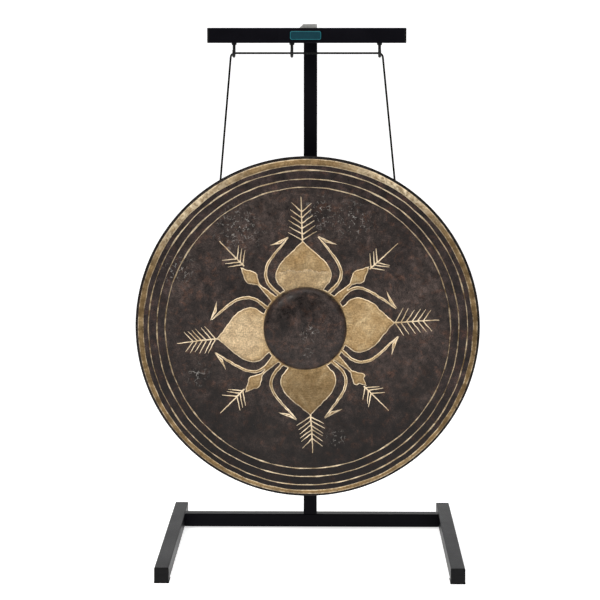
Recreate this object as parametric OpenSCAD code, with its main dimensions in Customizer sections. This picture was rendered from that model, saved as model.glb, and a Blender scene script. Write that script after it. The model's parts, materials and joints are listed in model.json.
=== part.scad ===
// Hanging gong on a square-tube floor stand.
// Origin on the floor under the middle of the part, +Z up, front towards -Y. Millimetres.

/* [Stand] */
// Side of the square tube of the legs, cross tube, post and arm
tube = 32; // [28:1:32]
// Wall of every square tube
tube_wall = 2; // [1.5:0.5:2.5]
// Width of the base over both legs
base_w = 682; // [640:2:760]
// Length of a leg over its two end caps
leg_len = 650; // [600:10:720]
// How far the front face of the post stands behind the front end of the legs
post_back = 521; // [500:1:530]
// Height of the top of the post tube
post_top = 1206; // [1190:1:1206]
// Sideways offset of the post from the gong's middle
post_x = 5.5; // [0:0.5:8]
// Sideways offset of the base from the gong's middle
base_x = 9; // [0:0.5:12]

/* [Crossbar] */
// Side of the crossbar's square tube
bar = 35; // [32:0.5:36]
// Length of the crossbar over its two end caps
bar_len = 460; // [440:1:480]
// Height of the crossbar's centreline
bar_z = 1191.5; // [1191:0.5:1192]
// Sideways offset of the crossbar and hooks from the gong's middle
bar_x = -2; // [-6:0.5:4]
// Distance from the crossbar's middle to each outer hook
hook_reach = 168.5; // [168:0.5:169]
// Distance from the crossbar's middle to the middle hook, towards the left
hook_mid = 34.5; // [25:0.5:45]

/* [Hooks and cord] */
// Diameter of a hook's rod
rod = 7; // [6:0.5:7]
// Radius of the hook's bend, to the middle of the rod
bend = 9.5; // [9:0.5:10]
// Height of the tip of a hook
hook_tip_z = 1160; // [1156:1:1162]
// Diameter of the suspension cord
cord_d = 5; // [4:0.5:5]

/* [Gong] */
// Outside radius of the gong
gong_r = 405; // [403:1:406]
// Depth of the gong's turned-back rim
rim_depth = 60; // [50:1:65]
// Thickness of the gong's metal
metal = 3; // [2.5:0.5:3.5]
// Radius of the raised boss
boss_r = 98; // [80:0.5:110]
// Height of the boss above the face
boss_h = 32; // [24:1:40]
// Angle from the top of the gong to each rim hole
hole_angle = 30.3; // [30:0.1:30.6]
// Diameter of a rim hole
hole_d = 9; // [8.5:0.5:10]
// Lean of the hanging gong, top forward
lean = 1.5; // [1:0.1:2]

/* [Hidden] */
$fn = 64;
eps = 0.05;                          // running gap between parts that slide together
sole_t = 3;                          // thickness of a foot cap under its leg
cap_t = 4;                           // thickness of the foot caps' end plates
bar_cap_t = 4.5;                     // thickness of the crossbar caps' end plates
corner = 2.5;                        // outside corner radius of the tubes
leg_z = sole_t + tube / 2;           // centreline height of the legs and cross tube
leg_x = base_w / 2 - tube / 2;       // centreline of a leg from the base's middle
front_y = -leg_len / 2;
post_y = front_y + post_back + tube / 2;
post_face_y = post_y - tube / 2;
base_top = sole_t + tube;
hang_y = 81;                         // the vertical plane that the cord hangs in
bar_y = hang_y + bend;
plate_t = 5;                         // thickness of the crossbar bracket plate
plate_y = bar_y + bar / 2;
screw_d = 6;
bolt_d = 8;
hook_xs = [bar_x - hook_reach, bar_x - hook_mid, bar_x + hook_reach];
rod_z = 1143.5;                      // lowest point of a hook's rod, on its centreline
bar_under = bar_z - bar / 2;
barrel_d = 9;                        // barrel of the rivet nut that a hook screws into
edge_r = 6;                          // rounding between the gong's face and rim
rim_taper = 5;                       // how much narrower the rim's back edge is
pivot_z = 857;                       // the line through the two rim holes
hole_back = 15.8;                    // from the gong's front face back to the rim holes
hole_at_r = gong_r - metal / 2 - 0.2;
boss_at = [-5.5, 0];                  // the boss sits a little off the gong's centre

// Route of the cord from the left knot over the three hooks to the right knot
cord_route = [
    [-204, hang_y, 847], [-203, hang_y, 857], [-196.8, hang_y, 928], [-190.6, hang_y, 999],
    [-184.2, hang_y, 1071], [-178.05, hang_y, 1141.5], [-177.35, hang_y, 1144.4],
    [-175.85, hang_y, 1147], [-173.6, hang_y, 1149.05], [-170.9, hang_y, 1150.35],
    [-167.9, hang_y, 1150.8], [-163, hang_y, 1150.8], [-130, hang_y, 1150.8], [-85, hang_y, 1150.8],
    [-40, hang_y, 1150.8], [-33, hang_y, 1150.8], [15, hang_y, 1150.8], [65, hang_y, 1150.8],
    [115, hang_y, 1150.8], [159, hang_y, 1150.8], [163.9, hang_y, 1150.8], [166.9, hang_y, 1150.35],
    [169.6, hang_y, 1149.05], [171.85, hang_y, 1147], [173.35, hang_y, 1144.4],
    [174.05, hang_y, 1141.65], [181.2, hang_y, 1071], [188.55, hang_y, 999], [195.8, hang_y, 928],
    [203, hang_y, 857], [204, hang_y, 847]
];
knot_ends = [cord_route[0], cord_route[len(cord_route) - 1]];

// ---------- shared shapes ----------

// A square with round corners, as true arcs
module round_square(side, r) {
    square([side - 2 * r, side], center = true);
    square([side, side - 2 * r], center = true);
    for (x = [-1, 1], y = [-1, 1]) {
        translate([x * (side / 2 - r), y * (side / 2 - r)]) circle(r);
    }
}

// A length of square tube along Z, standing on its end
module square_tube(side, length) {
    linear_extrude(length) difference() {
        round_square(side, corner);
        square(side - 2 * tube_wall, center = true);
    }
}

// A cylinder along an axis: 0 for X, 1 for Y, 2 for Z, from the origin towards plus
module rod_along(axis, d, length) {
    turn = [[0, 90, 0], [-90, 0, 0], [0, 0, 0]];
    rotate(turn[axis]) cylinder(d = d, h = length);
}

// A ribbed plug that fills a tube's end, along Z from the origin upwards
module ribbed_plug(side, length) {
    inner = side - 2 * tube_wall;
    translate([0, 0, length / 2]) cube([inner - 4, inner - 4, length], center = true);
    for (z = [3, 9, 15]) {
        translate([0, 0, z]) cube([inner - 2 * eps, inner - 2 * eps, 1.5], center = true);
    }
}

// The end plate of a cap, thickness t, with a bevelled outside and a shadow gap to the tube
module cap_plate(side, t) {
    bevel = 0.6;
    gap = 0.5;
    linear_extrude(bevel) round_square(side - 2 * bevel, corner);
    translate([0, 0, bevel]) linear_extrude(t - bevel - gap) round_square(side, corner);
    translate([0, 0, t - gap]) linear_extrude(gap) round_square(side - 2 * bevel, corner);
}

// A hexagonal nut body standing on the origin, across flats af
module hex_nut(af, height, bore) {
    difference() {
        cylinder(d = af / cos(30), h = height, $fn = 6);
        translate([0, 0, -1]) cylinder(d = bore, h = height + 2, $fn = 48);
    }
}

// A button head with a hexagonal socket, its shank pointing down from the origin
module button_screw(d, head_d, head_h, length) {
    translate([0, 0, -length]) cylinder(d = d, h = length);
    difference() {
        rotate_extrude() polygon([
            [0, 0], [head_d / 2, 0], [head_d / 2, head_h * 0.3],
            [head_d * 0.42, head_h * 0.7], [head_d * 0.28, head_h], [0, head_h]
        ]);
        translate([0, 0, head_h * 0.35]) cylinder(d = d * 0.66, h = head_h, $fn = 6);
    }
}

// A rivet nut flush with the outside of a wall, its barrel pointing down from the origin
module rivet_nut(outer, bore) {
    difference() {
        union() {
            translate([0, 0, -14]) cylinder(d = outer, h = 14);
            translate([0, 0, -tube_wall - 3]) cylinder(d = outer + 3, h = 3);
        }
        translate([0, 0, -15]) cylinder(d = bore, h = 16);
    }
}

// ---------- base ----------

module leg_tube(side) {
    x = base_x + side * leg_x;
    color("#26252b") difference() {
        translate([x, front_y + cap_t, leg_z]) rotate([-90, 0, 0]) {
            square_tube(tube, leg_len - 2 * cap_t);
        }
        // through hole for the screw that holds the cross tube, countersunk outside
        translate([x - tube, post_y, leg_z]) rod_along(0, bolt_d + 0.4, 2 * tube);
        translate([x + side * tube / 2, post_y, leg_z]) rotate([0, -side * 90, 0]) {
            translate([0, 0, -0.01]) cylinder(d1 = 15.6, d2 = bolt_d + 0.4, h = 3.9);
        }
    }
}

module base_cross_tube() {
    length = 2 * leg_x - tube;
    color("#26252b") translate([base_x - length / 2, post_y, leg_z]) rotate([0, 90, 0]) {
        square_tube(tube, length);
    }
}

// A foot cap: end plate, ribbed plug in the tube and a sole under the tube's end
module foot_cap(side, front) {
    sole_len = 45;
    sole_w = tube + 1;
    color("#141416") translate([base_x + side * leg_x, front * leg_len / 2, 0]) {
        rotate([0, 0, front > 0 ? 180 : 0]) {
            translate([0, cap_t, leg_z]) rotate([-90, 0, 0]) ribbed_plug(tube, 18);
            translate([0, 0, leg_z]) rotate([-90, 0, 0]) cap_plate(tube, cap_t);
            // the end plate runs down into the sole
            translate([-tube / 2, 0, 0]) cube([tube, cap_t - 0.5, sole_t + corner]);
            translate([-sole_w / 2, 0, 0]) cube([sole_w, sole_len, sole_t]);
        }
    }
}

// Countersunk screws through both legs into the cross tube's ends
module leg_screws() {
    color("#1b1b1e") for (side = [-1, 1]) {
        translate([base_x + side * base_w / 2, post_y, leg_z]) rotate([0, -side * 90, 0]) {
            difference() {
                translate([0, 0, 0.1]) cylinder(d1 = 15, d2 = bolt_d, h = 3.6);
                translate([0, 0, -0.1]) cylinder(d = 5, h = 2.6, $fn = 6);
            }
            translate([0, 0, 3.6]) cylinder(d = bolt_d, h = 44);
        }
    }
}

// Square threaded plugs in the ends of the cross tube
module cross_tube_inserts() {
    plug = tube - 2 * tube_wall - 2 * eps;
    color("#3a3a3e") for (side = [-1, 1]) {
        x = base_x + side * (leg_x - tube / 2);
        difference() {
            translate([x - side * 12, post_y, leg_z]) cube([24, plug, plug], center = true);
            translate([x - 30, post_y, leg_z]) rod_along(0, bolt_d + 2 * eps, 60);
        }
    }
}

// ---------- post ----------

post_screw_zs = [base_top + 30, base_top + 70];

module post_tube() {
    color("#26252b") difference() {
        translate([post_x, post_y, base_top]) square_tube(tube, post_top - base_top);
        for (z = post_screw_zs) {
            translate([post_x, post_y + 5, z]) rod_along(1, screw_d + 0.4, 20);
        }
        translate([post_x, post_y - 20, bar_z]) rod_along(1, bolt_d + 0.4, 40);
    }
}

// Inner sleeve on the cross tube that the post slides over
module post_spigot() {
    side = tube - 2 * tube_wall - 0.4;
    color("#2c2b31") difference() {
        translate([post_x, post_y, base_top]) linear_extrude(95) difference() {
            round_square(side, 1.5);
            square(side - 2 * tube_wall, center = true);
        }
        for (z = post_screw_zs) {
            translate([post_x, post_y + 5, z]) rod_along(1, 9, 20);
        }
    }
}

module post_screws() {
    color("#9a9a9c") for (z = post_screw_zs) {
        translate([post_x, post_y + tube / 2, z]) rotate([-90, 0, 0]) {
            button_screw(screw_d, 11, 3.3, 14);
        }
    }
}

module post_screw_nuts() {
    color("#b8a468") for (z = post_screw_zs) {
        translate([post_x, post_y + tube / 2 - tube_wall - 0.2, z]) rotate([-90, 0, 0]) {
            rivet_nut(9 - 2 * eps, screw_d + 2 * eps);
        }
    }
}

module post_top_cap() {
    color("#141416") translate([post_x, post_y, post_top]) {
        rotate([180, 0, 0]) difference() {
            ribbed_plug(tube, 10);
            translate([0, 0, 60]) cube(100, center = true);
        }
        translate([0, 0, 2]) mirror([0, 0, 1]) cap_plate(tube, 2);
    }
}

// ---------- crossbar ----------

module crossbar_arm() {
    y = plate_y + plate_t;
    color("#26252b") translate([post_x, y, bar_z]) rotate([-90, 0, 0]) {
        square_tube(tube, post_face_y - y);
    }
}

// Square threaded plug in the back end of the arm
module arm_insert() {
    plug = tube - 2 * tube_wall - 2 * eps;
    color("#3a3a3e") difference() {
        translate([post_x, post_face_y - 12, bar_z]) cube([plug, 24, plug], center = true);
        translate([post_x, post_face_y - 30, bar_z]) rod_along(1, bolt_d + 2 * eps, 40);
    }
}

module arm_washer() {
    color("#9a9a9c") translate([post_x, post_y + tube / 2, bar_z]) rotate([-90, 0, 0]) {
        difference() {
            cylinder(d = 16, h = 1.6);
            translate([0, 0, -1]) cylinder(d = bolt_d + 0.4, h = 4);
        }
    }
}

module arm_bolt() {
    color("#9a9a9c") translate([post_x, post_y + tube / 2 + 1.6, bar_z]) rotate([-90, 0, 0]) {
        cylinder(d = 13 / cos(30), h = 5.3, $fn = 6);
        translate([0, 0, -50]) cylinder(d = bolt_d, h = 50);
    }
}

bar_screw_xs = [post_x - 32, post_x + 32];

// Bracket plate behind the crossbar, with a bevelled tab that shows above it
module crossbar_plate() {
    tab = tube / 2;
    top = bar_z + 26.2;
    shoulder = bar_z + 13.8;
    color("#bcbcba") difference() {
        translate([post_x, plate_y + plate_t, 0]) rotate([90, 0, 0]) linear_extrude(plate_t) {
            polygon([
                [-45, bar_under + 2], [45, bar_under + 2], [45, shoulder], [tab, shoulder],
                [tab, top], [-tab, top], [-tab - top + shoulder, shoulder], [-45, shoulder]
            ]);
        }
        for (x = bar_screw_xs) {
            translate([x, plate_y - 5, bar_z]) rod_along(1, screw_d + 0.4, 20);
        }
    }
}

module crossbar_tube() {
    length = bar_len - 2 * bar_cap_t;
    color("#26252b") difference() {
        translate([bar_x - length / 2, bar_y, bar_z]) rotate([0, 90, 0]) square_tube(bar, length);
        for (x = hook_xs) {
            translate([x, bar_y, bar_under - 5]) cylinder(d = barrel_d, h = 12);
        }
        for (x = bar_screw_xs) {
            translate([x, bar_y + 5, bar_z]) rod_along(1, 9, 20);
        }
    }
}

module crossbar_cap(side) {
    color("#141416") translate([bar_x + side * bar_len / 2, bar_y, bar_z]) {
        rotate([0, -side * 90, 0]) {
            cap_plate(bar, bar_cap_t);
            translate([0, 0, bar_cap_t]) ribbed_plug(bar, 18);
        }
    }
}

module crossbar_screws() {
    color("#9a9a9c") for (x = bar_screw_xs) {
        translate([x, plate_y + plate_t + 1.6, bar_z]) rotate([-90, 0, 0]) {
            button_screw(screw_d, 11, 3.3, 18);
        }
    }
}

module crossbar_washers() {
    color("#9a9a9c") for (x = bar_screw_xs) {
        translate([x, plate_y + plate_t, bar_z]) rotate([-90, 0, 0]) difference() {
            cylinder(d = 12.5, h = 1.6);
            translate([0, 0, -1]) cylinder(d = screw_d + 0.4, h = 4);
        }
    }
}

module crossbar_screw_nuts() {
    color("#b8a468") for (x = bar_screw_xs) {
        translate([x, plate_y, bar_z]) rotate([-90, 0, 0]) {
            rivet_nut(9 - 2 * eps, screw_d + 2 * eps);
        }
    }
}

// Small blank name plate with a raised border on the crossbar's front
module badge_plate() {
    size = [72, 20];
    r = 4;
    color("#0b5a68") translate([bar_x - 2.7, bar_y - bar / 2, bar_z]) rotate([90, 0, 0]) {
        difference() {
            linear_extrude(1.6) badge_outline(size, r);
            translate([0, 0, 1.2]) linear_extrude(1) badge_outline(size - [3, 3], r - 1.5);
        }
    }
}

module badge_outline(size, r) {
    square([size[0] - 2 * r, size[1]], center = true);
    square([size[0], size[1] - 2 * r], center = true);
    for (x = [-1, 1], y = [-1, 1]) {
        translate([x * (size[0] / 2 - r), y * (size[1] / 2 - r)]) circle(r);
    }
}

// ---------- hooks ----------

// A J-hook: threaded stem up into the crossbar, round bend and a short upturned tip
module hook(x) {
    centre_z = rod_z + bend;
    stem_top = bar_under + 20;
    color("#17171a") translate([x, bar_y - bend, 0]) {
        translate([0, bend, centre_z]) cylinder(d = rod, h = stem_top - centre_z);
        translate([0, -bend, centre_z]) cylinder(d = rod, h = hook_tip_z - rod / 2 - centre_z);
        translate([0, -bend, hook_tip_z - rod / 2]) sphere(d = rod);
        translate([0, 0, centre_z]) rotate([90, 180, 90]) rotate_extrude(angle = 180) {
            translate([bend, 0]) circle(d = rod, $fn = 32);
        }
    }
}

module hook_lock_nuts() {
    color("#1d1d20") for (x = hook_xs) {
        translate([x, bar_y, bar_under - 4.5]) hex_nut(10, 3.5, rod + 2 * eps);
    }
}

// Rivet nuts in the crossbar's underside, each with a thin flange below it
module hook_rivet_nuts() {
    color("#1d1d20") for (x = hook_xs) {
        translate([x, bar_y, bar_under]) difference() {
            union() {
                translate([0, 0, -1]) cylinder(d = barrel_d + 3, h = 1);
                cylinder(d = barrel_d - 2 * eps, h = 13);
                translate([0, 0, tube_wall]) cylinder(d = barrel_d + 3, h = 3);
            }
            translate([0, 0, -2]) cylinder(d = rod + 2 * eps, h = 20);
        }
    }
}

// ---------- cord ----------

function unit(v) = v / norm(v);
function along(pts, i) = unit(pts[min(i + 1, len(pts) - 1)] - pts[max(i - 1, 0)]);
// a ring of n points round the route at point i; the route stays in one vertical plane
function ring(pts, i, r, n) = [
    for (k = [0:n - 1])
        let (t = along(pts, i), side = [0, 1, 0], up = cross(t, side), a = 360 * (k + 0.5) / n)
        pts[i] + r * (cos(a) * side + sin(a) * up)
];

module tube_on_route(pts, d, n) {
    points = [for (i = [0:len(pts) - 1]) each ring(pts, i, d / 2, n)];
    last = (len(pts) - 1) * n;
    walls = [
        for (i = [0:len(pts) - 2], k = [0:n - 1])
            [i * n + k, i * n + (k + 1) % n, (i + 1) * n + (k + 1) % n, (i + 1) * n + k]
    ];
    ends = [[for (k = [0:n - 1]) n - 1 - k], [for (k = [0:n - 1]) last + k]];
    polyhedron(points, concat(walls, ends), convexity = 6);
}

module suspension_cord() {
    color("#111113") tube_on_route(cord_route, cord_d, 8);
}

// The stopper knot behind the rim, as two joined beads
module cord_knot(at) {
    color("#111113") translate(at) {
        translate([0, 0, -1]) sphere(d = 11);
        translate([0, 0, -6]) sphere(d = 8);
    }
}

// ---------- gong ----------

// Points round an arc from angle a to angle b
function arc(c, r, a, b, n) = [for (i = [0:n]) let (t = a + (b - a) * i / n) c + r * [cos(t), sin(t)]];

// The gong's outside in section, radius then depth behind the face, shrunk by t all round
function dish(t, front, back) = concat(
    [[0, front], [gong_r - edge_r, front]],
    arc([gong_r - edge_r, edge_r], edge_r - t, -90, 0, 8),
    [[gong_r - rim_taper - t, back], [0, back]]
);

// The boss outside in section, a flattened dome that runs back to the face
function boss(t, back) = concat(
    [for (i = [0:14]) let (a = 90 * i / 14)
        [(boss_r - t) * pow(sin(a), 0.72), -(boss_h - t) * pow(cos(a), 0.72)]],
    [[boss_r - t, back], [0, back]]
);

// Turns a section's radius and depth into a solid with its axis along +Y
module turned(section) {
    rotate([-90, 0, 0]) rotate_extrude($fn = 180) polygon(section);
}

module gong_body() {
    difference() {
        union() {
            turned(dish(0, 0, rim_depth));
            translate([boss_at[0], 0, boss_at[1]]) turned(boss(0, 1));
        }
        turned(dish(metal, metal, rim_depth + 1));
        translate([boss_at[0], 0, boss_at[1]]) turned(boss(metal, metal + 1));
        for (side = [-1, 1]) {
            translate([0, hole_back, 0]) rotate([0, side * hole_angle, 0]) {
                translate([0, 0, gong_r - 30]) cylinder(d = hole_d, h = 60);
            }
        }
    }
}

module gong() {
    hole_up = hole_at_r * cos(hole_angle);
    color("#4a3b36") translate([0, hang_y, pivot_z]) rotate([lean, 0, 0]) {
        translate([0, -hole_back, -hole_up]) gong_body();
    }
}

// ---------- nodes ----------

leg_tube(-1);  // left_leg_tube
leg_tube(1);  // right_leg_tube
base_cross_tube();
post_tube();
post_spigot();
crossbar_arm();
crossbar_tube();
crossbar_plate();
foot_cap(-1, -1);  // front_left_foot
foot_cap(1, -1);  // front_right_foot
foot_cap(-1, 1);  // back_left_foot
foot_cap(1, 1);  // back_right_foot
crossbar_cap(-1);  // left_crossbar_cap
crossbar_cap(1);  // right_crossbar_cap
post_top_cap();
leg_screws();
cross_tube_inserts();
post_screws();
post_screw_nuts();
arm_bolt();
arm_washer();
arm_insert();
crossbar_screws();
crossbar_washers();
crossbar_screw_nuts();
hook(hook_xs[0]);  // left_hook
hook(hook_xs[1]);  // middle_hook
hook(hook_xs[2]);  // right_hook
hook_lock_nuts();
hook_rivet_nuts();
badge_plate();
suspension_cord();
cord_knot(knot_ends[0]);  // left_cord_knot
cord_knot(knot_ends[1]);  // right_cord_knot
gong();
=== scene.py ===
"""The looks of a tam tam gong that hangs by one cord from a black steel floor stand.

The stand's tubes and fittings are the CAD nodes with new materials. The gong, the cord, its knots
and the badge are modelled here. Lengths are millimetres until a mesh is made, in metres.
"""

import json
import math
import random

import bpy
import numpy as np
from mathutils import Matrix, Vector, kdtree, noise
from mathutils.geometry import delaunay_2d_cdt


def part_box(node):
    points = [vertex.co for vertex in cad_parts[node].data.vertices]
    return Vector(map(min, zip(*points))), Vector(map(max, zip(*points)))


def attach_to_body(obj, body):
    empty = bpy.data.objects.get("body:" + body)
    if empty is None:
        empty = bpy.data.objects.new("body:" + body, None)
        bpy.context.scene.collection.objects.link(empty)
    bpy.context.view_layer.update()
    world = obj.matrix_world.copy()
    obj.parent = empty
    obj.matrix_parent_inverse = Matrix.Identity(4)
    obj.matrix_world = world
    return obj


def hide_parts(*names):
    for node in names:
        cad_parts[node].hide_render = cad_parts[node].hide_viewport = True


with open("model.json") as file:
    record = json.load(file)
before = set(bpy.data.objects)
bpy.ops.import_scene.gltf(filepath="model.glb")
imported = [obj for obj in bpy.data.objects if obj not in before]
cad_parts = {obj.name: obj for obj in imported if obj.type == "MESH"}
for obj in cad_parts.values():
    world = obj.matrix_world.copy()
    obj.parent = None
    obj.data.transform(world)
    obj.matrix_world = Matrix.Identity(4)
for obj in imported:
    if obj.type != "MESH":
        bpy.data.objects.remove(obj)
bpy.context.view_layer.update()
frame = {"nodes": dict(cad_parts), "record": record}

MM = 0.001
scene = bpy.context.scene


# ---------- camera ----------

def make_camera():
    """The main view: 4.8 m in front of the stand and 1.2 m up, through a long lens"""
    data = bpy.data.cameras.new("camera")
    data.lens = 126
    data.sensor_width = 36
    data.clip_end = 100
    camera = bpy.data.objects.new("camera", data)
    camera.location = (0.0511, -4.8098, 1.2013)
    camera.rotation_euler = (math.radians(90 - 7.296), 0, math.radians(0.805))
    scene.collection.objects.link(camera)
    scene.camera = camera


make_camera()


# ---------- curves ----------

def spline(points, spacing, closed=False):
    """A Catmull-Rom curve through the points, with points about spacing apart"""
    points = np.array(points, float)
    count = len(points)
    if closed:
        padded = np.vstack([points[-1], points, points[0], points[1]])
        spans = count
    else:
        padded = np.vstack([2 * points[0] - points[1], points, 2 * points[-1] - points[-2]])
        spans = count - 1
    fine = []
    for i in range(spans):
        a, b, c, d = padded[i:i + 4]
        for t in np.linspace(0, 1, 24, endpoint=False):
            fine.append(0.5 * (2 * b + (c - a) * t + (2 * a - 5 * b + 4 * c - d) * t ** 2
                               + (3 * b - a - 3 * c + d) * t ** 3))
    fine.append(points[0] if closed else points[-1])
    return resample(np.array(fine), spacing, closed)


def resample(points, spacing, closed=False):
    """The same line with points about spacing apart; a closed line doesn't repeat its first"""
    points = np.array(points, float)
    steps = np.linalg.norm(np.diff(points, axis=0), axis=1)
    reach = np.concatenate([[0], np.cumsum(steps)])
    count = max(2, int(round(reach[-1] / spacing)) + 1)
    at = np.linspace(0, reach[-1], count)
    even = np.stack([np.interp(at, reach, points[:, k]) for k in range(points.shape[1])], axis=1)
    return even[:-1] if closed else even


# ---------- meshes ----------

def make_object(name, points, faces, face_materials, materials, smooth_angle=35):
    """A mesh object from points in metres, smooth except where faces meet at a steep angle"""
    mesh = bpy.data.meshes.new(name)
    mesh.from_pydata([tuple(p) for p in points], [], faces)
    for material in materials:
        mesh.materials.append(material)
    mesh.polygons.foreach_set("material_index", np.array(face_materials, np.int32))
    mesh.polygons.foreach_set("use_smooth", np.ones(len(faces), bool))
    mesh.set_sharp_from_angle(angle=math.radians(smooth_angle))
    mesh.update()
    made = bpy.data.objects.new(name, mesh)
    scene.collection.objects.link(made)
    return made


def sweep_frames(path, closed=False):
    """Two side directions at each point of the path, which turn as little as they can"""
    path = np.array(path, float)
    ahead = np.roll(path, -1, axis=0) - np.roll(path, 1, axis=0)
    if not closed:
        ahead[0] = path[1] - path[0]
        ahead[-1] = path[-1] - path[-2]
    ahead /= np.linalg.norm(ahead, axis=1)[:, None]
    side = np.cross(ahead[0], [0.0, 1.0, 0.0])
    if np.linalg.norm(side) < 0.1:
        side = np.cross(ahead[0], [1.0, 0.0, 0.0])
    sides = []
    for direction in ahead:
        side = side - direction * side.dot(direction)
        side = side / np.linalg.norm(side)
        sides.append(side)
    sides = np.array(sides)
    return ahead, sides, np.cross(ahead, sides)


def oval_tube(path, wide_way, half_wide, half_thick, sides, closed=False):
    """Rings of an oval tube along path. wide_way is its broad side's direction at each point"""
    ahead, _, _ = sweep_frames(path, closed)
    wide_way = wide_way - ahead * np.sum(wide_way * ahead, axis=1)[:, None]
    wide_way = wide_way / np.linalg.norm(wide_way, axis=1)[:, None]
    thick_way = np.cross(ahead, wide_way)
    angles = np.linspace(0, 2 * math.pi, sides, endpoint=False)
    rings = (path[:, None, :]
             + half_wide * np.cos(angles)[None, :, None] * wide_way[:, None, :]
             + half_thick * np.sin(angles)[None, :, None] * thick_way[:, None, :])
    count = len(path)
    faces = []
    for i in range(count if closed else count - 1):
        near, far = i * sides, (i + 1) % count * sides
        for k in range(sides):
            after = (k + 1) % sides
            faces.append((near + k, near + after, far + after, far + k))
    if not closed:
        faces.append(tuple(reversed(range(sides))))
        faces.append(tuple(range((count - 1) * sides, count * sides)))
    return rings.reshape(-1, 3), faces


# a braided cord's measures, as shares of its diameter
CORE = 0.38
STRAND_AT, STRAND_WAVE = 0.385, 0.02  # how far out a strand runs, and how far it weaves
STRAND_WIDE, STRAND_THICK = 0.29, 0.095


def braid(path, diameter, closed=False, carriers=4, pitch=13.0):
    """The points and faces of a braided cord: strands that wind both ways, over and under"""
    path = np.array(path, float)
    _, sides, ups = sweep_frames(path, closed)
    gaps = np.linalg.norm(np.diff(path, axis=0), axis=1)
    reach = np.concatenate([[0], np.cumsum(gaps)])
    turns = reach / pitch
    if closed:
        whole = reach[-1] + np.linalg.norm(path[0] - path[-1])
        turns = reach / whole * max(1, round(whole / pitch))
    middle, wave = diameter * STRAND_AT, diameter * STRAND_WAVE
    points, faces = oval_tube(path, sides, diameter * CORE, diameter * CORE, 10, closed)
    points = list(points)
    for way in (1, -1):
        for carrier in range(carriers):
            angle = 2 * math.pi * (way * turns + carrier / carriers)
            radius = middle + way * wave * np.cos(2 * math.pi * carriers * turns)
            out = np.cos(angle)[:, None] * sides + np.sin(angle)[:, None] * ups
            around = -np.sin(angle)[:, None] * sides + np.cos(angle)[:, None] * ups
            strand, strand_faces = oval_tube(
                path + radius[:, None] * out, around, diameter * STRAND_WIDE,
                diameter * STRAND_THICK, 6, closed)
            faces += [tuple(c + len(points) for c in face) for face in strand_faces]
            points += list(strand)
    return points, faces


# ---------- materials ----------

def blank_material(name):
    """A new material, its node tree and its Principled shader"""
    material = bpy.data.materials.new(name)
    material.use_nodes = True
    return material, material.node_tree, material.node_tree.nodes["Principled BSDF"]


def put(tree, kind, inputs=(), **settings):
    """A new node; inputs are (socket, value or output) pairs"""
    made = tree.nodes.new(kind)
    for key, value in settings.items():
        setattr(made, key, value)
    for key, value in inputs:
        if isinstance(value, bpy.types.NodeSocket):
            tree.links.new(value, made.inputs[key])
        else:
            made.inputs[key].default_value = value
    return made


def place_in(tree, scale=(1, 1, 1)):
    """Object coordinates in metres, stretched by scale"""
    coordinates = put(tree, "ShaderNodeTexCoord")
    if scale == (1, 1, 1):
        return coordinates.outputs["Object"]
    return put(tree, "ShaderNodeMapping",
               [("Vector", coordinates.outputs["Object"]), ("Scale", scale)]).outputs[0]


def clouds(tree, vector, scale, detail=4, rough=0.55, distortion=0.0):
    """Noise from 0 to 1; scale is features per metre"""
    return put(tree, "ShaderNodeTexNoise",
               [("Vector", vector), ("Scale", scale), ("Detail", detail),
                ("Roughness", rough), ("Distortion", distortion)]).outputs["Fac"]


def cells(tree, vector, scale, feature="F1"):
    """Distance to the nearest of many scattered points"""
    return put(tree, "ShaderNodeTexVoronoi",
               [("Vector", vector), ("Scale", scale)], feature=feature).outputs["Distance"]


def ramp(tree, fac, stops):
    """Colour or number by fac; stops are (place, colour or grey)"""
    made = put(tree, "ShaderNodeValToRGB", [("Fac", fac)])
    while len(made.color_ramp.elements) < len(stops):
        made.color_ramp.elements.new(0.5)
    for element, (place, value) in zip(made.color_ramp.elements, stops):
        element.position = place
        element.color = (*value, 1) if isinstance(value, tuple) else (value, value, value, 1)
    return made.outputs["Color"]


def mix(tree, fac, first, second, blend="MIX"):
    """Colour between first and second"""
    made = put(tree, "ShaderNodeMix", data_type="RGBA", blend_type=blend)
    for index, value in ((0, fac), (6, first), (7, second)):
        if isinstance(value, bpy.types.NodeSocket):
            tree.links.new(value, made.inputs[index])
        elif index == 0:
            made.inputs[0].default_value = value
        else:
            made.inputs[index].default_value = (*value, 1)
    return made.outputs[2]


def calculate(tree, operation, *values):
    """One Math node"""
    return put(tree, "ShaderNodeMath", list(enumerate(values)), operation=operation).outputs[0]


def spread(tree, fac, low, high):
    """fac from 0 to 1, moved to low to high"""
    return put(tree, "ShaderNodeMapRange",
               [("Value", fac), ("To Min", low), ("To Max", high)]).outputs[0]


def times(tree, first, second):
    return calculate(tree, "MULTIPLY", first, second)


def tinted(tree, colour, fac, stops):
    """The colour times a grey or a tint that fac picks from the stops"""
    return mix(tree, 1.0, colour, ramp(tree, fac, stops), "MULTIPLY")


def dress(tree, shader, colour, rough, bumps, same):
    """Wires up the shader. bumps lie on top of each other, each a height, a strength and a
    distance in metres; same holds the sockets that are the same all over"""
    tree.links.new(colour, shader.inputs["Base Color"])
    tree.links.new(rough, shader.inputs["Roughness"])
    for socket, value in same.items():
        shader.inputs[socket].default_value = value
    below = []
    for height, strength, distance in bumps:
        made = put(tree, "ShaderNodeBump",
                   [("Height", height), ("Strength", strength), ("Distance", distance)] + below)
        below = [("Normal", made.outputs[0])]
    tree.links.new(made.outputs[0], shader.inputs["Normal"])


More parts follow.
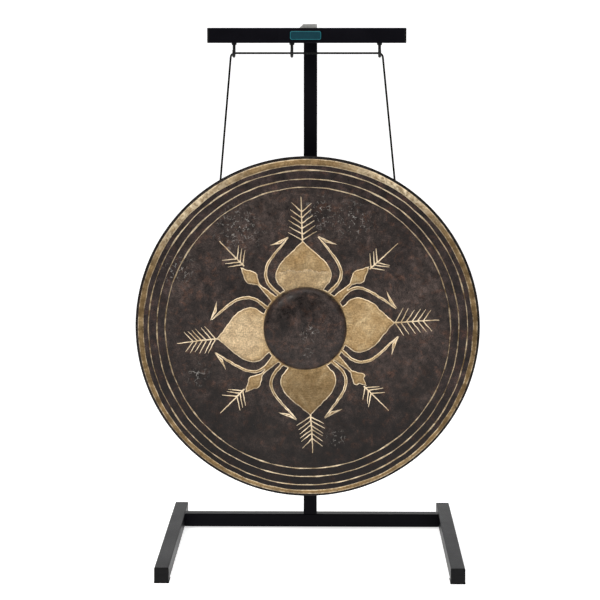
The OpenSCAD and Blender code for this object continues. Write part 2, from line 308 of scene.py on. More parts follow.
def powder_coat():
    """Black powder coat on steel: a very fine orange peel, a little dust and rubbing"""
    material, tree, shader = blank_material("powder_coat")
    at = place_in(tree)
    patches = clouds(tree, at, 9, 5, 0.6)
    dress(tree, shader,
          ramp(tree, patches, [(0.3, (0.0016, 0.0015, 0.0027)), (0.75, (0.0032, 0.003, 0.005))]),
          spread(tree, patches, 0.3, 0.46),
          [(clouds(tree, at, 420, 2, 0.5), 0.35, 0.0006),
           (clouds(tree, at, 1400, 3, 0.6), 0.25, 0.00025)],
          {"Specular IOR Level": 0.05})
    return material


def moulded_plastic():
    """Black moulded nylon of the tube caps and soles, with a light spark-eroded grain"""
    material, tree, shader = blank_material("cap_plastic")
    scuffs = clouds(tree, place_in(tree, (1, 1, 3)), 60, 6, 0.7)
    dress(tree, shader,
          ramp(tree, scuffs, [(0.35, (0.003, 0.003, 0.0036)), (0.8, (0.009, 0.009, 0.0096))]),
          spread(tree, scuffs, 0.48, 0.68),
          [(clouds(tree, place_in(tree), 2600, 2, 0.5), 0.3, 0.0002)],
          {"Specular IOR Level": 0.12})
    return material


def plated_steel(name, tone, low_rough, high_rough, spangle):
    """Zinc plated or plain steel: soft crystal patches, fine rolling lines"""
    material, tree, shader = blank_material(name)
    at = place_in(tree)
    dull = clouds(tree, at, 90, 5, 0.65)
    shade = mix(tree, 0.5, cells(tree, at, spangle), dull)
    dark = tuple(c * 0.72 for c in tone)
    dress(tree, shader, ramp(tree, shade, [(0.2, dark), (0.7, tone)]),
          spread(tree, dull, low_rough, high_rough),
          [(clouds(tree, place_in(tree, (1, 1, 14)), 260, 3, 0.6), 0.12, 0.0003)],
          {"Metallic": 1})
    return material


def black_metal(name, low_rough, high_rough):
    """Blackened steel of the hooks and screws, worn a little brighter here and there"""
    material, tree, shader = blank_material(name)
    at = place_in(tree)
    wear_and_highlight = clouds(tree, at, 140, 6, 0.7)
    dress(tree, shader,
          ramp(tree, wear_and_highlight, [(0.45, (0.004, 0.004, 0.0045)), (0.85, (0.028, 0.027, 0.026))]),
          spread(tree, wear_and_highlight, high_rough, low_rough),
          [(clouds(tree, at, 900, 3, 0.6), 0.2, 0.0003)],
          {"Metallic": 0.3, "Specular IOR Level": 0.2})
    return material


def cord_fibre():
    """Black nylon cord: fine fibres along the strands, with a weak sheen"""
    material, tree, shader = blank_material("cord_black")
    fibres = clouds(tree, place_in(tree, (1, 1, 0.35)), 5200, 3, 0.7)
    dress(tree, shader,
          ramp(tree, fibres, [(0.3, (0.0012, 0.0012, 0.0015)), (0.8, (0.0065, 0.0065, 0.007))]),
          spread(tree, fibres, 0.55, 0.8), [(fibres, 0.5, 0.0002)],
          {"Sheen Weight": 0.02, "Specular IOR Level": 0.07, "Sheen Roughness": 0.5})
    return material


def enamel(name, tone, rough):
    """Printed or enamelled metal of the badge"""
    material, tree, shader = blank_material(name)
    at = place_in(tree)
    drift = clouds(tree, at, 70, 4, 0.6)
    darker = tuple(c * 0.8 for c in tone)
    dress(tree, shader, ramp(tree, drift, [(0.3, darker), (0.7, tone)]),
          spread(tree, drift, rough, rough + 0.12), [(clouds(tree, at, 800, 2, 0.5), 0.08, 0.0002)],
          {"Specular IOR Level": 0.2, "Coat Weight": 0.08, "Coat Roughness": 0.12})
    return material


def polar(tree, at):
    """Distance from the gong's centre in metres and the angle round it in radians"""
    parts = put(tree, "ShaderNodeSeparateXYZ", [("Vector", at)])
    x, z = parts.outputs["X"], parts.outputs["Z"]
    squares = calculate(tree, "ADD", times(tree, x, x),
                        times(tree, z, z))
    return calculate(tree, "SQRT", squares), calculate(tree, "ARCTAN2", z, x)


def round_place(tree, at, place, near, far, inside, outside):
    """A number that goes from inside to outside between two distances from a place, in metres"""
    gap = put(tree, "ShaderNodeVectorMath", [(0, at), (1, place)], operation="DISTANCE")
    return put(tree, "ShaderNodeMapRange",
               [("Value", gap.outputs["Value"]), ("From Min", near), ("From Max", far),
                ("To Min", inside), ("To Max", outside)]).outputs[0]


def near_point(tree, at, place, reach):
    """1 at a place on the gong, falling to 0 at reach"""
    return round_place(tree, at, place, 0.0, reach, 1.0, 0.0)


DARKER_HEART_PLACE = (-0.01, 0.0, -0.21)  # the bottom heart

STRIKE_MARKS = [((0.004, -0.032, -0.004), 0.03), ((0.002, -0.03, -0.055), 0.016),
                ((-0.16, 0.0, 0.236), 0.07), ((0.03, 0.0, 0.272), 0.05),
                ((0.105, 0.0, 0.255), 0.055), ((-0.302, 0.0, 0.14), 0.05),
                ((0.07, 0.0, -0.262), 0.03), ((-0.26, 0.0, -0.11), 0.035)]


def strike_marks(tree, at):
    """Clusters of fine light scratches where beaters have hit"""
    clusters = None
    for place, reach in STRIKE_MARKS:
        cluster = near_point(tree, at, place, reach)
        clusters = cluster if clusters is None else calculate(tree, "MAXIMUM", clusters, cluster)
    lines = cells(tree, at, 130, "DISTANCE_TO_EDGE")
    broken = clouds(tree, at, 90, 3, 0.6)
    thin = ramp(tree, lines, [(0.0, 1.0), (0.065, 0.0)])
    parts = ramp(tree, broken, [(0.52, 0.0), (0.58, 1.0)])
    marks = times(tree, thin, parts)
    return times(tree, marks, clusters)


def patina():
    """The gong's smoked and oiled skin: near black, with rust brown and grey mottling"""
    material, tree, shader = blank_material("gong_patina")
    at = place_in(tree)
    radius, _ = polar(tree, at)
    broad = clouds(tree, at, 6, 6, 0.62, 0.4)
    patches = clouds(tree, at, 19, 5, 0.6, 0.8)
    mottle = clouds(tree, at, 58, 9, 0.72, 0.3)
    rust = clouds(tree, at, 44, 7, 0.72, 0.6)
    grain = clouds(tree, at, 420, 4, 0.7)
    skin = ramp(tree, broad, [(0.35, (0.0145, 0.0098, 0.0088)), (0.68, (0.037, 0.0262, 0.0225))])
    rusty = ramp(tree, rust, [(0.52, 0.0), (0.64, 1.0)])
    skin = mix(tree, times(tree, rusty, 0.45), skin, (0.07, 0.031, 0.018))
    skin = tinted(tree, skin, mottle, [(0.33, 0.35), (0.5, 0.9), (0.68, 2.1)])
    skin = tinted(tree, skin, grain, [(0.35, 0.4), (0.65, 1.7)])
    skin = tinted(tree, skin, patches, [(0.34, 0.55), (0.66, 1.45)])
    burnt = ramp(tree, times(tree, radius, 2.0),
                 [(0.66, (1.0, 1.0, 1.0)), (0.69, (0.7, 0.66, 0.7)), (0.797, (0.7, 0.66, 0.7)),
                  (0.802, (0.2, 0.2, 0.2))])
    skin = mix(tree, 1.0, skin, burnt, "MULTIPLY")
    height = put(tree, "ShaderNodeSeparateXYZ", [("Vector", at)]).outputs["Z"]
    lower = put(tree, "ShaderNodeMapRange", [("Value", height), ("From Min", -0.3),
                                             ("From Max", -0.06), ("To Min", 0.55),
                                             ("To Max", 1.12)]).outputs[0]
    skin = mix(tree, 1.0, skin, lower, "MULTIPLY")
    skin = mix(tree, strike_marks(tree, at), skin, (0.42, 0.4, 0.37))
    dress(tree, shader, skin, ramp(tree, mottle, [(0.35, 0.22), (0.65, 0.6)]),
          [(cells(tree, at, 52, "SMOOTH_F1"), 0.3, 0.0016), (mottle, 0.45, 0.001),
           (grain, 0.35, 0.0003)],
          {"Metallic": 0.2, "Specular IOR Level": 0.24})
    return material


def rim_black():
    """Soot and varnish on the gong's rounded edge and the outside of its rim"""
    material, tree, shader = blank_material("gong_rim_black")
    at = place_in(tree)
    soot = clouds(tree, at, 35, 7, 0.7, 0.4)
    grain = clouds(tree, at, 380, 4, 0.7)
    skin = ramp(tree, soot, [(0.35, (0.004, 0.0033, 0.0032)), (0.6, (0.011, 0.0085, 0.0078)),
                             (0.75, (0.03, 0.02, 0.015))])
    skin = tinted(tree, skin, grain, [(0.35, 0.6), (0.65, 1.4)])
    dress(tree, shader, skin, spread(tree, soot, 0.45, 0.75),
          [(soot, 0.4, 0.001), (grain, 0.35, 0.0003)], {"Specular IOR Level": 0.08})
    return material


def scraped_bronze():
    """Bare bronze where the skin is scraped off: mottled, with a painted highlight along the cut
    edges and painted shade a little inside them
    """
    material, tree, shader = blank_material("gong_scraped_bronze")
    at = place_in(tree)
    radius, angle = polar(tree, at)
    round_it = put(tree, "ShaderNodeCombineXYZ",
                   [("X", times(tree, radius, 900.0)),
                    ("Y", times(tree, angle, 14.0))]).outputs[0]
    scrapes = clouds(tree, round_it, 1.0, 5, 0.7)
    blotches = clouds(tree, at, 24, 6, 0.6, 0.5)
    stains = clouds(tree, at, 150, 5, 0.72)
    facets = cells(tree, place_in(tree, (1.0, 1.0, 0.45)), 95, "SMOOTH_F1")
    streaks = clouds(tree, put(tree, "ShaderNodeMapping",
                               [("Vector", at), ("Rotation", (0, 0.6, 0)),
                                ("Scale", (60, 60, 700))]).outputs[0], 1.0, 4, 0.7, 0.4)
    grit = clouds(tree, at, 260, 4, 0.75)
    metal = ramp(tree, blotches, [(0.3, (0.29, 0.185, 0.082)), (0.5, (0.385, 0.262, 0.13)),
                                  (0.7, (0.52, 0.385, 0.215))])
    metal = tinted(tree, metal, grit, [(0.35, 0.72), (0.65, 1.3)])
    metal = tinted(tree, metal, streaks, [(0.35, 0.74), (0.65, 1.28)])
    # the bare bronze is made darker round the bottom heart
    bottom_heart_darkening = round_place(tree, at, DARKER_HEART_PLACE, 0.07, 0.19, 0.5, 1.0)
    metal = mix(tree, 1.0, metal, bottom_heart_darkening, "MULTIPLY")
    spots = ramp(tree, stains, [(0.58, 0.0), (0.68, 1.0)])
    metal = mix(tree, times(tree, spots, 0.5), metal, (0.1, 0.056, 0.026))
    cut = put(tree, "ShaderNodeAttribute", attribute_name="from_edge").outputs["Fac"]
    uneven = calculate(tree, "MULTIPLY_ADD", clouds(tree, at, 75, 3, 0.6), 0.16, cut)
    # painted shade: a brown band a few mm inside each cut's edge, as if the groove were shaded
    brown = ramp(tree, uneven, [(0.3, 0.0), (0.4, 1.0), (0.5, 0.8), (0.75, 0.0)])
    metal = mix(tree, times(tree, brown, 0.55), metal, (0.17, 0.1, 0.042))
    # pale: a painted highlight below the upper heart's fold, and the paler left heart
    pale = put(tree, "ShaderNodeAttribute", attribute_name="pale").outputs["Fac"]
    metal = mix(tree, times(tree, pale, 0.42), metal, (0.64, 0.51, 0.345))
    metal = mix(tree, times(tree, pale, 0.6), metal,
                tinted(tree, metal, grit, [(0.35, 0.6), (0.6, 1.4)]))
    # painted highlight: within a few mm of each cut's edge the bronze is lightened as if catching
    # the light, so narrow cuts are bright all across
    edge = ramp(tree, uneven, [(0.2, 1.0), (0.33, 0.0)])
    edge_highlight = ramp(tree, clouds(tree, at, 33, 3, 0.6), [(0.35, 0.25), (0.6, 0.95)])
    metal = mix(tree, times(tree, edge, edge_highlight), metal, (0.90, 0.74, 0.52))
    # smoke and handling have dulled the thin lines and the band in places; they are also darkened
    # towards their left and right sides, which is painted shade
    worn = ramp(tree, clouds(tree, at, 42, 5, 0.7), [(0.42, 0.0), (0.6, 1.0)])
    outer = ramp(tree, times(tree, radius, 2.0), [(0.655, 0.0), (0.665, 1.0)])
    side_shade = calculate(tree, "POWER", calculate(tree, "ABSOLUTE",
                                                  calculate(tree, "COSINE", angle)), 1.5)
    wear_and_side_shade = calculate(tree, "MULTIPLY_ADD", side_shade, 0.5, times(tree, worn, 0.55))
    metal = mix(tree, times(tree, wear_and_side_shade, outer), metal, (0.115, 0.075, 0.036))
    # two stretches of the band carry a painted highlight, broken into flecks
    wear_and_highlight = calculate(tree, "MAXIMUM", near_point(tree, at, (-0.27, 0.0, 0.29), 0.17),
                       near_point(tree, at, (0.2, 0.0, 0.34), 0.16))
    flecks = ramp(tree, clouds(tree, at, 85, 4, 0.7), [(0.42, 0.15), (0.6, 1.0)])
    wear_and_highlight = times(tree, times(tree, wear_and_highlight, flecks), outer)
    metal = mix(tree, wear_and_highlight, metal, (0.86, 0.72, 0.5))
    dress(tree, shader, metal, spread(tree, blotches, 0.5, 0.3),
          [(blotches, 0.5, 0.0018), (facets, 0.85, 0.002), (streaks, 0.35, 0.0006),
           (scrapes, 0.3, 0.0005)], {"Metallic": 1})
    return material


def raw_bronze():
    """The gong's back and inside: brown fire scale over hammered bronze, worn on its ridges"""
    material, tree, shader = blank_material("gong_raw_bronze")
    at = place_in(tree)
    ridges = cells(tree, at, 42, "SMOOTH_F1")
    oxide = clouds(tree, at, 11, 9, 0.68, 0.5)
    mottle = clouds(tree, at, 70, 8, 0.75, 0.4)
    fine = clouds(tree, at, 330, 5, 0.75)
    scratches = ramp(tree, cells(tree, place_in(tree, (1, 1, 0.3)), 75, "DISTANCE_TO_EDGE"),
                     [(0.0, 1.0), (0.02, 0.0)])
    skin = ramp(tree, oxide, [(0.32, (0.042, 0.027, 0.019)), (0.5, (0.078, 0.049, 0.031)),
                              (0.68, (0.135, 0.083, 0.047))])
    skin = tinted(tree, skin, mottle, [(0.34, 0.5), (0.66, 1.6)])
    skin = tinted(tree, skin, fine, [(0.35, 0.62), (0.65, 1.4)])
    wear_and_highlight = times(tree, ramp(tree, ridges, [(0.45, 0.0), (0.75, 0.5)]),
                       ramp(tree, oxide, [(0.45, 0.2), (0.62, 1.0)]))
    skin = mix(tree, wear_and_highlight, skin, (0.3, 0.19, 0.095))
    skin = mix(tree, times(tree, scratches, 0.25), skin, (0.36, 0.24, 0.13))
    dress(tree, shader, skin, spread(tree, mottle, 0.62, 0.34),
          [(mottle, 0.4, 0.0012), (fine, 0.35, 0.0004)], {"Metallic": 0.6})
    return material


STEEL_GREY = (0.56, 0.56, 0.55)
BRASS = (0.55, 0.44, 0.22)

LOOKS = {
    "powder_coat": powder_coat(),
    "cap_plastic": moulded_plastic(),
    "zinc_plate": plated_steel("zinc_plate", (0.62, 0.62, 0.6), 0.38, 0.55, 160),
    "zinc_hardware": plated_steel("zinc_hardware", STEEL_GREY, 0.25, 0.42, 700),
    "insert_steel": plated_steel("insert_steel", (0.2, 0.2, 0.21), 0.4, 0.6, 300),
    "insert_brass": plated_steel("insert_brass", BRASS, 0.3, 0.45, 500),
    "black_hardware": black_metal("black_hardware", 0.3, 0.5),
    "hook_black": black_metal("hook_black", 0.28, 0.46),
    "cord_black": cord_fibre(),
    "badge_teal": enamel("badge_teal", (0.0006, 0.032, 0.046), 0.3),
}


# ---------- cord and knots ----------

HANG_Y = 81
CORD_D = 5
# the cord's line over the hooks, as (x, z)
CORD_ROUTE = [
    (-204, 847), (-203, 857), (-196.8, 928), (-190.6, 999), (-184.2, 1071), (-178.05, 1141.5),
    (-177.35, 1144.4), (-175.85, 1147), (-173.6, 1149.05), (-170.9, 1150.35), (-167.9, 1150.8),
    (-163, 1150.8), (-130, 1150.8), (-85, 1150.8), (-40, 1150.8), (-33, 1150.8), (15, 1150.8),
    (65, 1150.8), (115, 1150.8), (159, 1150.8), (163.9, 1150.8), (166.9, 1150.35),
    (169.6, 1149.05), (171.85, 1147), (173.35, 1144.4), (174.05, 1141.65), (181.2, 1071),
    (188.55, 999), (195.8, 928), (203, 857), (204, 847)
]


def stand_in(piece, body, node):
    """The piece rides on a body and takes a CAD node's place"""
    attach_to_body(piece, body)
    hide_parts(node)


def make_cord():
    line = resample([(x, HANG_Y, z) for x, z in CORD_ROUTE], 1.3)
    points, faces = braid(line, CORD_D)
    cord = make_object("braided_cord", np.array(points) * MM, faces, [0] * len(faces),
                       [LOOKS["cord_black"]], 60)
    stand_in(cord, "cord", "suspension_cord")
    return cord, line


def make_knot(side):
    """An overhand knot inside the gong's rim: a tight trefoil with its tail end"""
    node = ("left" if side < 0 else "right") + "_cord_knot"
    low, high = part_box(node)
    centre = np.array((low + high) / 2) / MM
    size = (high.x - low.x) / MM
    turn = np.linspace(0, 2 * math.pi, 90, endpoint=False)
    loop = np.stack([np.sin(turn) + 2 * np.sin(2 * turn), -1.5 * np.sin(3 * turn),
                     np.cos(turn) - 2 * np.cos(2 * turn)], axis=1)
    loop = centre + loop * (size - CORD_D) / 6
    points, faces = braid(loop, CORD_D * 0.94, closed=True, pitch=9.0)
    tail = spline([centre + np.array(p) for p in
                   ((side * -1.0, 0.5, -1.5), (side * -3.5, 2.0, -3.5), (side * -5.5, 4.5, -6.5),
                    (side * -6.0, 7.5, -10.5))], 0.9)
    tail_points, tail_faces = braid(tail, CORD_D * 0.94)
    faces += [tuple(c + len(points) for c in face) for face in tail_faces]
    points = list(points) + list(tail_points)
    knot = make_object(node + "_tied", np.array(points) * MM, faces, [0] * len(faces),
                       [LOOKS["cord_black"]], 60)
    stand_in(knot, "cord", node)
    return knot


cord, cord_line = make_cord()
knots = [make_knot(-1), make_knot(1)]


# ---------- the ornament on the gong's face ----------

# It is drawn on the flat face seen from the front, x to the right and z up, round the boss.
BOSS_X = -5.5
BOSS_R = 98
RING_R = 102.6
ORNAMENT_START = 100  # every motif starts inside the bare ring round the boss
dice = random.Random(11)
spines = []  # lines along the middle of the broad cuts, where they are deepest


def on_face(points, angle):
    """Points (out from the boss, across) turned to angle, and kept clear of the boss"""
    turn = math.radians(angle)
    placed = []
    for out, across in points:
        reach = math.hypot(out, across)
        if reach < ORNAMENT_START:
            out, across = out * ORNAMENT_START / reach, across * ORNAMENT_START / reach
        placed.append((BOSS_X + out * math.cos(turn) - across * math.sin(turn),
                       out * math.sin(turn) + across * math.cos(turn)))
    return placed


def hand_cut(points, amount):
    """Moves an outline's points a little, as a hand-guided scraper does"""
    seed = dice.uniform(0, 900)
    return [(u + amount * noise.noise(Vector((u * 0.11, v * 0.11, seed))),
             v + amount * noise.noise(Vector((u * 0.11, v * 0.11, seed + 40))))
            for u, v in points]


def stroke(centre, widths):
    """The outline of a cut along a line, its width changing evenly along it"""
    centre = np.array(centre)
    along = np.gradient(centre, axis=0)
    along /= np.linalg.norm(along, axis=1)[:, None]
    across = np.stack([-along[:, 1], along[:, 0]], axis=1)
    half = np.interp(np.linspace(0, 1, len(centre)), np.linspace(0, 1, len(widths)), widths) / 2
    left = centre + across * half[:, None]
    right = centre - across * half[:, None]
    return [tuple(p) for p in np.vstack([left, right[::-1]])]


def heart(angle, apex):
    """A petal: a broad heart with its point outwards"""
    half = [(apex, 0), (apex - 13, 12.5), (apex - 31, 32), (apex - 53, 54), (130, 65.5),
            (111, 62.5), (100, 53), (86, 40), (84, 15)]
    side = spline(half, 2.6)
    outline = [tuple(p) for p in side] + [(u, -v) for u, v in side[:0:-1]]
    return on_face(hand_cut(outline, 1.3), angle)


def barb(start, end, width):
    line = resample([start, end], 3.0)
    return stroke(line, [width * 1.25, width, width * 0.45])


def feather(angle, root, reach, pairs):
    """A stem with slanting barbs on both sides, longest next to the heart"""
    cuts = [stroke(spline([(root - 3, 0), ((root + reach) / 2, dice.uniform(-0.8, 0.8)),
                           (reach, 0)], 3.0), [3.4, 2.9, 1.6])]
    last = reach - 38
    for k in range(pairs):
        share = k / (pairs - 1)
        attach = root + 1.5 + (last - root) * share
        for side in (-1, 1):
            long = 32.5 - 9 * share + dice.uniform(-2, 2)
            out = 20 + dice.uniform(-2.5, 2.5)
            start = (attach + dice.uniform(-1.2, 1.2), 0)
            cuts.append(barb(start, (start[0] + out, side * long), 2.1))
    return [on_face(hand_cut(cut, 0.8), angle) for cut in cuts]


def fish_hook(angle, side, opening):
    """The curl beside a heart: a curved stroke that ends in a one-sided barb"""
    nudge = dice.uniform(-2, 2)
    line = spline([(80, 55), (90, 66), (106, 81), (127, 88.5), (152, 82 + nudge), (176, 66 + nudge),
                   (197, 49), (216, 33)], 2.8)
    line[:, 1] += opening * np.clip((line[:, 0] - 127) / 90, 0, 1)
    line[:, 1] *= side
    tip, end, notch = (219, 32 + opening), (197 + nudge, 77 + opening), (202, 50 + opening)
    edge = [p for a, b in ((tip, end), (end, notch), (notch, tip))
            for p in resample([a, b], 2.8, closed=True)]
    arrow = [(u, side * v) for u, v in edge]
    spines.append(on_face([tuple(p) for p in line[4:-8]], angle))
    return [on_face(hand_cut(stroke(line, [8.5, 7.5, 7, 6.5, 6, 5, 2]), 1.0), angle),
            on_face(hand_cut(arrow, 0.8), angle)]


def spade(angle, apex, feather_angle, feather_reach):
    """A slim stem that opens into a small leaf, with three pairs of barbs at its point"""
    stem = stroke(resample([(92, 0), (154, 0)], 3.0), [20, 16, 11.5, 7.5, 6])
    leaf = [(apex + 2, 0), (apex - 16, 8.5), (182, 14.5), (177, 16.5), (171, 15.5), (157, 7),
            (144, 0)]
    side = resample(leaf, 2.8)
    spines.append(on_face(resample([(96, 0), (apex - 6, 0)], 3.0), angle))
    outline = [tuple(p) for p in side] + [(u, -v) for u, v in side[-2:0:-1]]
    cuts = [on_face(hand_cut(stem, 1.2), angle), on_face(hand_cut(outline, 1.8), angle)]
    spine = spline([(apex - 3, 0), ((apex + feather_reach) / 2, dice.uniform(-1, 1)),
                    (feather_reach, 0)], 3.0)
    plume = [stroke(spine, [3.2, 2.6, 1.4])]
    for k in range(3):
        for way in (-1, 1):
            start = (apex + 2 + 9.5 * k + dice.uniform(-1, 1), 0)
            slant = math.radians(52 + dice.uniform(-4, 4))
            long = 34 + dice.uniform(-3, 3)
            end = (start[0] + long * math.cos(slant), way * long * math.sin(slant))
            plume.append(barb(start, end, 2.2))
    return cuts + [on_face(hand_cut(cut, 0.7), feather_angle) for cut in plume]


def ornament():
    """Every motif's outline, four hearts and four spades round the boss"""
    cuts = []
    hearts = [(91.75, 208, 311, 4, 0), (3.8, 211, 315, 0, 0), (273.45, 210, 300, 0, 0),
              (186.9, 210, 303, 13, 0)]
    for angle, apex, reach, right, left in hearts:
        cuts.append(heart(angle, apex))
        cuts += feather(angle, apex, reach, 6)
        cuts += fish_hook(angle, -1, right) + fish_hook(angle, 1, left)
    spades = [(44.5, 209, 43, 296), (136.4, 208, 134.1, 288), (227.1, 207, 225.4, 286),
              (316.6, 198, 315.2, 279)]
    for angle, apex, feather_angle, reach in spades:
        cuts += spade(angle, apex, feather_angle, reach)
    return cuts


def wavy_circle(centre, radius, waver, count, seed):
    """A circle cut by hand: straight-ish runs with small kinks every few degrees"""
    kinks = 96
    chance = random.Random(seed)
    offsets = [chance.uniform(-waver, waver) for _ in range(kinks)]
    outline = []
    for i in range(count):
        place = i / count * kinks
        low = int(place)
        share = place - low
        offset = offsets[low % kinks] * (1 - share) + offsets[(low + 1) % kinks] * share
        angle = 2 * math.pi * i / count
        outline.append((centre[0] + (radius + offset) * math.cos(angle),
                        centre[1] + (radius + offset) * math.sin(angle)))
    return outline


LINE_CENTRE = (0.8, -2.2)
LINE_HALF = 1.15  # half the width of a thin line


def bands():
    """Pairs of outer and inner outlines: the broad band at the edge, then three thin lines"""
    pairs = [(wavy_circle((0.3, 0.1), 398.8, 0.3, 540, 1),
              wavy_circle((1.1, -2.6), 386.6, 1.0, 540, 2))]
    for k, radius in enumerate((374.8, 354.7, 335)):
        pairs.append(tuple(wavy_circle(LINE_CENTRE, radius + way * LINE_HALF, 0.95, 540, seed + k)
                           for way, seed in ((1, 10), (-1, 20))))
    return pairs


# ---------- gong ----------

GONG_R = 405
EDGE_R = 6
METAL = 3
RIM_DEPTH = 60
RIM_END_R = 400
BOSS_H = 32
BOSS_POWER = 0.72  # below 1 makes the boss fuller than a dome
SCRAPE_DEPTH = 0.3
GROOVE_DEPTH = 0.6  # more of the metal is taken off away from a cut's edges
HOLE_D = 9.4  # 0.2 mm a side wider than in CAD, to clear the cord when the gong tilts
HOLE_BACK = 15.8
HOLE_ANGLE = 30.3
RIM_COLUMNS = 720
BOSS_COLUMNS = 240
HANG_Z = 857
LEAN = 1.5

FLAT_R = GONG_R - EDGE_R
HOLE_UP = (GONG_R - METAL / 2 - 0.2) * math.cos(math.radians(HOLE_ANGLE))
GONG_PLACE = (Matrix.Translation((0, HANG_Y * MM, HANG_Z * MM))
              @ Matrix.Rotation(math.radians(LEAN), 4, "X")
              @ Matrix.Translation((0, -HOLE_BACK * MM, -HOLE_UP * MM)))
FACE, BARE, RAW, EDGE = 0, 1, 2, 3


class Shell:
    """Collects one mesh's points and faces"""

    def __init__(self):
        self.points, self.faces, self.materials = [], [], []

    def add_points(self, points):
        start = len(self.points)
        self.points += [tuple(p) for p in points]
        return list(range(start, len(self.points)))

    def add_face(self, corners, material):
        self.faces.append(tuple(corners))
        self.materials.append(material)

    def add_strip(self, near, far, material, closed=True):
        """Faces between two rings of points"""
        count = len(near)
        for i in range(count if closed else count - 1):
            after = (i + 1) % count
            self.add_face((near[i], near[after], far[after], far[i]), material)


def circle(centre, radius, count):
    turns = np.linspace(0, 2 * math.pi, count, endpoint=False)
    return [(centre[0] + radius * math.cos(t), centre[1] + radius * math.sin(t)) for t in turns]


def plate_profile(back):
    """Distance along the plate from its centre, to (radius, depth), and the whole length"""
    inset = METAL if back else 0
    corner = EDGE_R - inset
    whole = FLAT_R + corner * math.pi / 2

    def at(reach):
        if reach <= FLAT_R:
            return reach, inset
        turn = (reach - FLAT_R) / corner
        return FLAT_R + corner * math.sin(turn), EDGE_R - corner * math.cos(turn)

    return at, whole


def boss_profile(back):
    """The same along the boss, from its centre to its foot"""
    inset = METAL if back else 0
    turns = np.linspace(0, math.pi / 2, 200)
    radii = (BOSS_R - inset) * np.sin(turns) ** BOSS_POWER
    depths = inset - BOSS_H * np.cos(turns) ** BOSS_POWER
    steps = np.hypot(np.diff(radii), np.diff(depths))
    reach = np.concatenate([[0], np.cumsum(steps)])

    def at(place):
        return float(np.interp(place, reach, radii)), float(np.interp(place, reach, depths))

    return at, float(reach[-1])


ROW = 0.866  # from row to row of a triangular grid, as a share of its spacing


def scattered(radius, spacing, near, fine_reach, keep_out):
    """Points on a triangular grid in a circle, fine next to the outlines and coarse elsewhere"""
    found = []
    rows = int(radius / (spacing * ROW)) + 1
    columns = int(radius / spacing) + 2
    for row in range(-rows, rows + 1):
        for column in range(-columns, columns + 1):
            x = (column + (row % 2) / 2) * spacing
            z = row * spacing * ROW
            if math.hypot(x, z) > radius or keep_out(x, z):
                continue
            gap = near.find((x, z, 0))[2] if near else fine_reach + 1
            if gap < spacing * 0.45:
                continue
            if gap < fine_reach or (row % 2 == 0 and column % 2 == 0):
                found.append((x, z))
    return found


def nearest(points):
    """A tree that finds the nearest of many flat points"""
    tree = kdtree.KDTree(len(points))
    for number, (x, z) in enumerate(points):
        tree.insert((x, z, 0), number)
    tree.balance()
    return tree


def is_counterclockwise(outline):
    after = outline[1:] + outline[:1]
    return sum(a[0] * b[1] - b[0] * a[1] for a, b in zip(outline, after)) > 0


def triangles(outlines, points):
    """Triangles over all outlines and points: corners, faces, each face's outlines, each
    outline point's number among the corners"""
    corners, rings = [], []
    for outline in outlines:
        ring = list(range(len(corners), len(corners) + len(outline)))
        corners += outline
        rings.append(ring if is_counterclockwise(outline) else ring[::-1])
    corners += points
    made = delaunay_2d_cdt([Vector(c) for c in corners], [], rings, 0, 0.0005, True)
    placed, _, faces, from_corners, _, from_rings = made
    number = {}
    for new, olds in enumerate(from_corners):
        for old in olds:
            number[old] = new
    numbers, start = [], 0
    for outline in outlines:
        numbers.append([number[start + k] for k in range(len(outline))])
        start += len(outline)
    return placed, faces, from_rings, numbers


def waviness(x, z):
    """How far the hammered plate stands in or out, in mm: broad waves and small blows"""
    broad = noise.noise(Vector((x / 130, z / 130, 3.0)))
    blow = noise.voronoi(Vector((x / 21, z / 21, 7.0)))[0][0]
    return 0.45 * broad + 0.32 * (blow - 0.4)


def hammered(x, z):
    """The deep hammer marks on the back, in mm: round dents that overlap"""
    dent = noise.voronoi(Vector((x / 24, z / 24, 1.0)))[0][0]
    return 1.2 * min(0.8, dent) - 0.5


FOLD_X, FOLD_HALF, FOLD_Z = -9, 66, 139  # the middle, half length and height of the fold


def crease_line(x):
    """The height of the fold across the upper heart, or nothing beside it"""
    across = (x - FOLD_X) / FOLD_HALF
    if abs(across) > 1:
        return None
    return FOLD_Z + 2.2 * math.sin(across * 9) + 1.2 * math.sin(across * 31) - 7 * across * across


def crease(x, z):
    """A fold across the upper heart: a sharp lip, and a long slope back below it"""
    line = crease_line(x)
    if line is None:
        return 0
    above = z - line
    if above > 0:
        height = -0.8 * math.exp(-above / 6)
    else:
        height = 1.3 * max(0, 1 + above / 24)
    return height * (1 - ((x - FOLD_X) / FOLD_HALF) ** 4)


def paleness(x, z):
    """How much paler than the rest the bare bronze is: below the fold, where it is a painted
    highlight that is brightest along the fold line, and the left heart
    """
    line = crease_line(x)
    left = min(1, max(0, 1.9 - math.hypot(x + 158, z + 19) / 42))
    if line is None or not BOSS_R * 0.8 < z < line:
        return left
    # below the fold: a painted highlight, strongest right under the fold line
    return 0.45 + 1.2 * math.exp(-(line - z) / 1.8)


